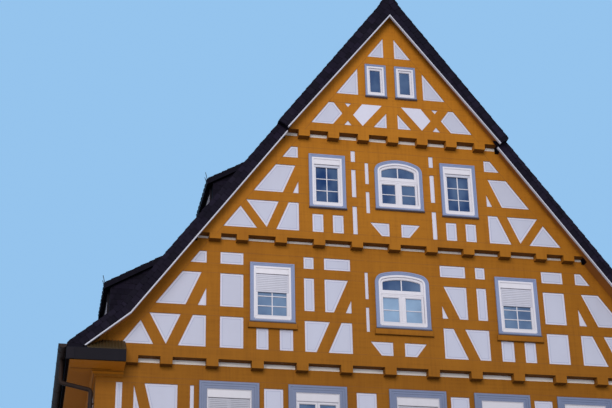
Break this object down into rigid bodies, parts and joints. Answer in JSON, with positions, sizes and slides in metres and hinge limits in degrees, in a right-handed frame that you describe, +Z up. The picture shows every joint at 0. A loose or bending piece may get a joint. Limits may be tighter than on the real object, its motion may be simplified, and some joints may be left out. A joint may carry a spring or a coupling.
{
  "type": "half timbered house",
  "caption": "Gabled half timbered town house with forward stepping gable tiers, slate roof, shed dormers, boxed eaves and shuttered windows.",
  "frame": {"origin": "centre of the walls' plan at ground level", "axes": "+X to the right seen from the front gable, +Y back from it, +Z up"},
  "size_m": [13.5, 12.065, 19.4987],
  "materials": {
    "timber": "painted ochre timber",
    "plaster": "smooth painted plaster",
    "render": "painted render",
    "slate": "natural slate",
    "trim": "light grey metal edging",
    "casing": "blue-grey paint",
    "sill": "dark metal",
    "sash": "white gloss paint",
    "pane": "window glass",
    "shutter": "white slats",
    "gutter": "dark brown metal",
    "boards": "bare boards",
    "door": "stained oak"
  },
  "bodies": {
    "root": {"front_wall_ground": "render", "back_wall_ground": "render", "left_wall_ground": "render", "right_wall_ground": "render", "front_frame": "timber", "front_infill": "plaster", "back_frame": "timber", "left_frame": "timber", "right_frame": "timber", "side_infill": "plaster", "gable_frame_1": "timber", "gable_frame_2": "timber", "gable_frame_3": "timber", "gable_infill": "plaster", "back_gable_frame": "timber", "back_infill": "plaster", "joists_1": "timber", "joists_2": "timber", "joists_3": "timber", "jetty_infill": "plaster", "ground_floor": "render", "first_floor": "boards", "second_floor": "boards", "attic_floor_1": "boards", "attic_floor_2": "boards", "attic_floor_3": "boards", "dormer_walls": "slate", "dormer_roofs": "slate", "left_roof": "slate", "right_roof": "slate", "ridge_cap": "slate", "verge_boards": "slate", "verge_trim": "trim", "verge_soffit": "timber", "left_cornice": "timber", "right_cornice": "timber", "return_roofs": "slate", "gutters": "gutter", "downpipes": "gutter", "window_casings": "casing", "window_sills": "sill", "window_sashes": "sash", "window_glass": "pane", "roller_shutters": "shutter", "front_door": "door"}
  },
  "joints": []
}
